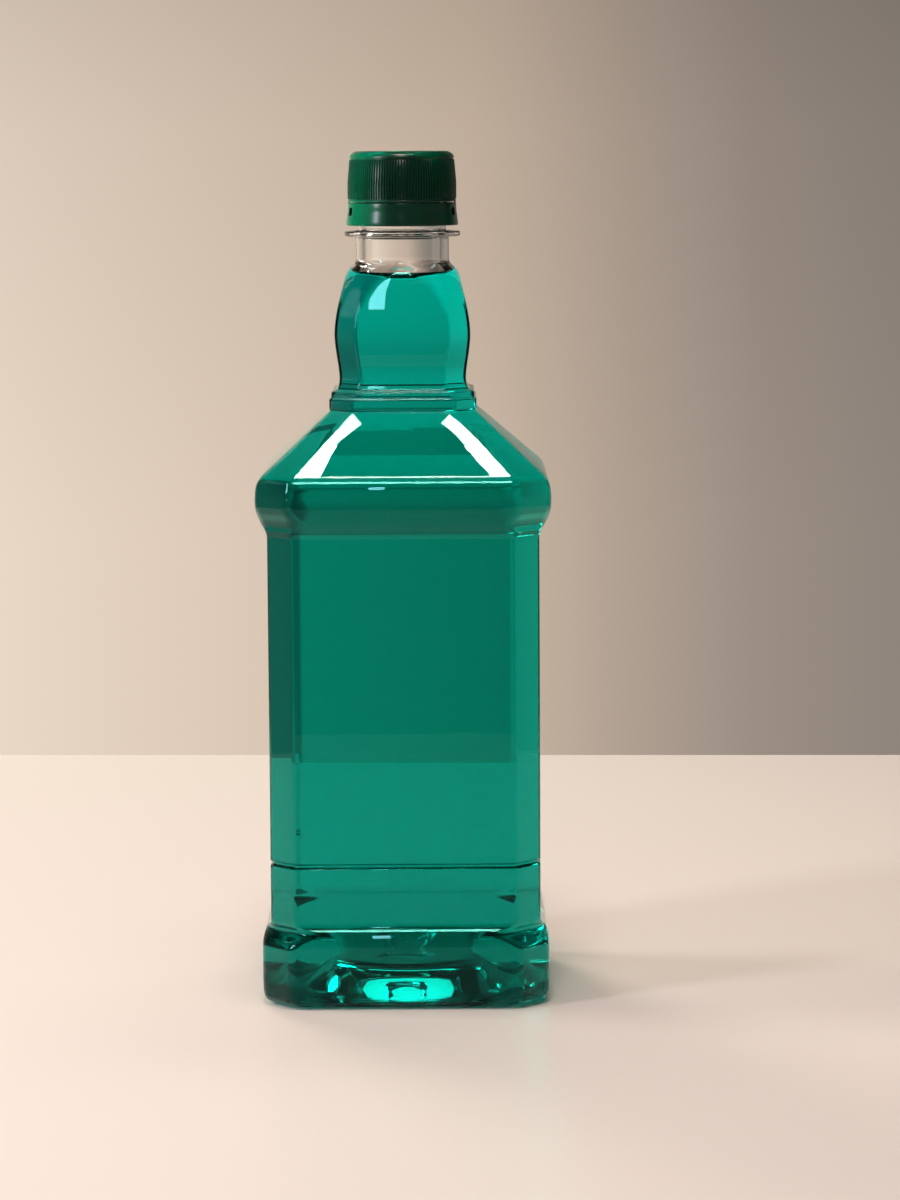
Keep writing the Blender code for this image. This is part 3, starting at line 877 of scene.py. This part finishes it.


# the backdrop's colours by the angle from straight behind the bottle to the right, in degrees, with a
# painted pool of light to the left, the room's colours all round, and painted shade: how much of both is
# left at each height, darker upwards. The dark parts lie outside the picture, and draw the dark edges of
# the plastic
paintedLightBackdrop = {
    "behind": (
        (-58, "#2C2A28"), (-50, "#A89C90"), (-34, "#CDBCAA"), (-25, "#E8D5C0"), (-9, "#F3E2D0"),
        (-4, "#E0CDBB"), (0.5, "#CBB7A4"), (2.6, "#AF9F91"), (4.4, "#9B8E84"), (7.4, "#8A8178"),
        (16, "#9C9187"), (30, "#A3988D"), (48, "#8F867D"), (56, "#2C2A28"),
    ),
    "round": (
        (-180, "#8A8580"), (-110, "#968F88"), (-80, "#8F8982"), (-68, "#2C2A28"),
        (68, "#2C2A28"), (80, "#8F8982"), (110, "#968F88"), (180, "#8A8580"),
    ),
    "shadeUpwards": (
        (-1.0, 1.0), (-0.1, 1.0), (0.0, 0.87), (0.08, 0.62), (0.3, 0.45), (0.6, 0.07), (1.0, 0.03),
    ),
}


def rampNode(tree, value, low, high, stops):  # a colour ramp over a range of a value
    share = addNode(tree, "ShaderNodeMapRange", {}, {
        "Value": value,
        "From Min": low,
        "From Max": high,
    })
    ramp = addNode(tree, "ShaderNodeValToRGB", {}, {"Fac": share.outputs["Result"]})
    points = ramp.color_ramp.elements
    while len(points) < len(stops):
        points.new(1.0)
    for point, (where, color) in zip(points, stops):
        point.position = (where - low) / (high - low)
        point.color = color
    return ramp.outputs["Color"]


def makeWorld():
    world = bpy.data.worlds.new("studioAir")
    scene = bpy.context.scene
    scene.world = world
    world.use_nodes = True
    tree = world.node_tree
    place = addNode(tree, "ShaderNodeTexCoord")
    way = addNode(tree, "ShaderNodeSeparateXYZ", {}, {"Vector": place.outputs["Generated"]})
    turn = addNode(tree, "ShaderNodeMath", {"operation": "ARCTAN2"}, {
        0: way.outputs["X"],
        1: way.outputs["Y"],
    })
    # the rings hold painted light: brighter behind to the left, darker to the right
    rings = []
    for name in ("behind", "round"):
        stops = [(angle * degree, hexColor(code)) for angle, code in paintedLightBackdrop[name]]
        rings.append(rampNode(tree, turn.outputs[0], stops[0][0], stops[-1][0], stops))
    around = addNode(tree, "ShaderNodeMix", {"data_type": "RGBA", "blend_type": "LIGHTEN"}, {
        0: 1.0,
        6: rings[0],
        7: rings[1],
    })
    # painted shade: the backdrop darkens with height
    shadeUpwards = [(height, (share, share, share, 1)) for height, share in paintedLightBackdrop["shadeUpwards"]]
    both = addNode(tree, "ShaderNodeMix", {"data_type": "RGBA", "blend_type": "MULTIPLY"}, {
        0: 1.0,
        6: around.outputs[2],
        7: rampNode(tree, way.outputs["Z"], -1.0, 1.0, shadeUpwards),
    })
    tree.links.new(both.outputs[2], tree.nodes["Background"].inputs["Color"])
    scene.view_settings.view_transform = "Standard"
    # light goes through wall, liquid and wall again, often by way of several inner reflections
    scene.cycles.max_bounces = studio["bounces"]
    scene.cycles.transmission_bounces = studio["bounces"]


# name, place, what it points at, width and height, turn about its own axis, watts, colour, what shows
# it, and for some how wide it spreads, in degrees
lights = (
    ("windowLeft", (-0.83, -0.56, 0.6), (0, 0, 0.2), (0.16, 0.5), 0, 5.5, "#F4F0FF", "gloss and glass"),
    ("sunBackLeft", (-0.5, 1.0, 0.7), (0, 0, 0.05), (0.4, 0.4), 0, 8.0, "#FFF4E6", "glass"),
    ("sideLeft", (-1.5, 0.2, 0.9), (0, 0, 0.1), (0.5, 0.5), 0, 14.0, "#FFF8EE", "glass"),
    ("capLeft", (-0.35, 0.08, 0.27), (0, 0, 0.231), (0.03, 0.03), 0, 0.15, "#FFF8EE", "neither", 14),
    ("capTop", (0, 0.01, 0.7), (0, 0, 0.24), (0.02, 0.02), 0, 0.03, "#FFF8EE", "neither", 4),
    ("topOver", (0.1, -0.45, 1.35), (0.05, -0.3, 0), (0.8, 0.4), 0, 3.2, "#FFFAF4", "glass"),
    ("topBack", (0.1, 0.5, 1.2), (0, 0.1, 0), (0.9, 0.3), 0, 4.0, "#FFFAF4", "glass"),
    ("topFront", (-0.02, -0.5, 0.9), (0, 0, 0.02), (0.13, 0.22), 0, 2.6, "#FFF8F0", "gloss"),
    ("stripBarrel", (-0.0255, -0.9, 0.62), (-0.0255, 0, 0.2), (0.009, 0.22), 0, 0.15, "#FFE6FF", "gloss"),
)

# the strips straight above the shoulder, which mirrors them as its streaks: name, across and along,
# width and height, turn, watts. Their pink makes up for the plastic's sheen
stripHeight = 0.96
stripColor = "#FFC2BC"
strips = (
    ("stripLeftLow", (-0.0515, -0.0166), (0.0117, 0.024), -26, 0.1),
    ("stripLeftHigh", (-0.0398, -0.0015), (0.0084, 0.021), -50, 0.033),
    ("stripRightLow", (0.0318, -0.0166), (0.0081, 0.0266), 39.8, 0.075),
    ("stripRightHigh", (0.0182, -0.0015), (0.0059, 0.0191), 45, 0.021),
    ("stripAcross", (-0.0093, -0.085), (0.13, 0.11), 0, 2.4),
)

makeStage()
for light in lights:
    addLight(*light)
for name, where, size, turn, power in strips:
    addLight(name, (*where, stripHeight), (*where, 0), size, turn, power, stripColor, "gloss")
addCamera()
makeWorld()
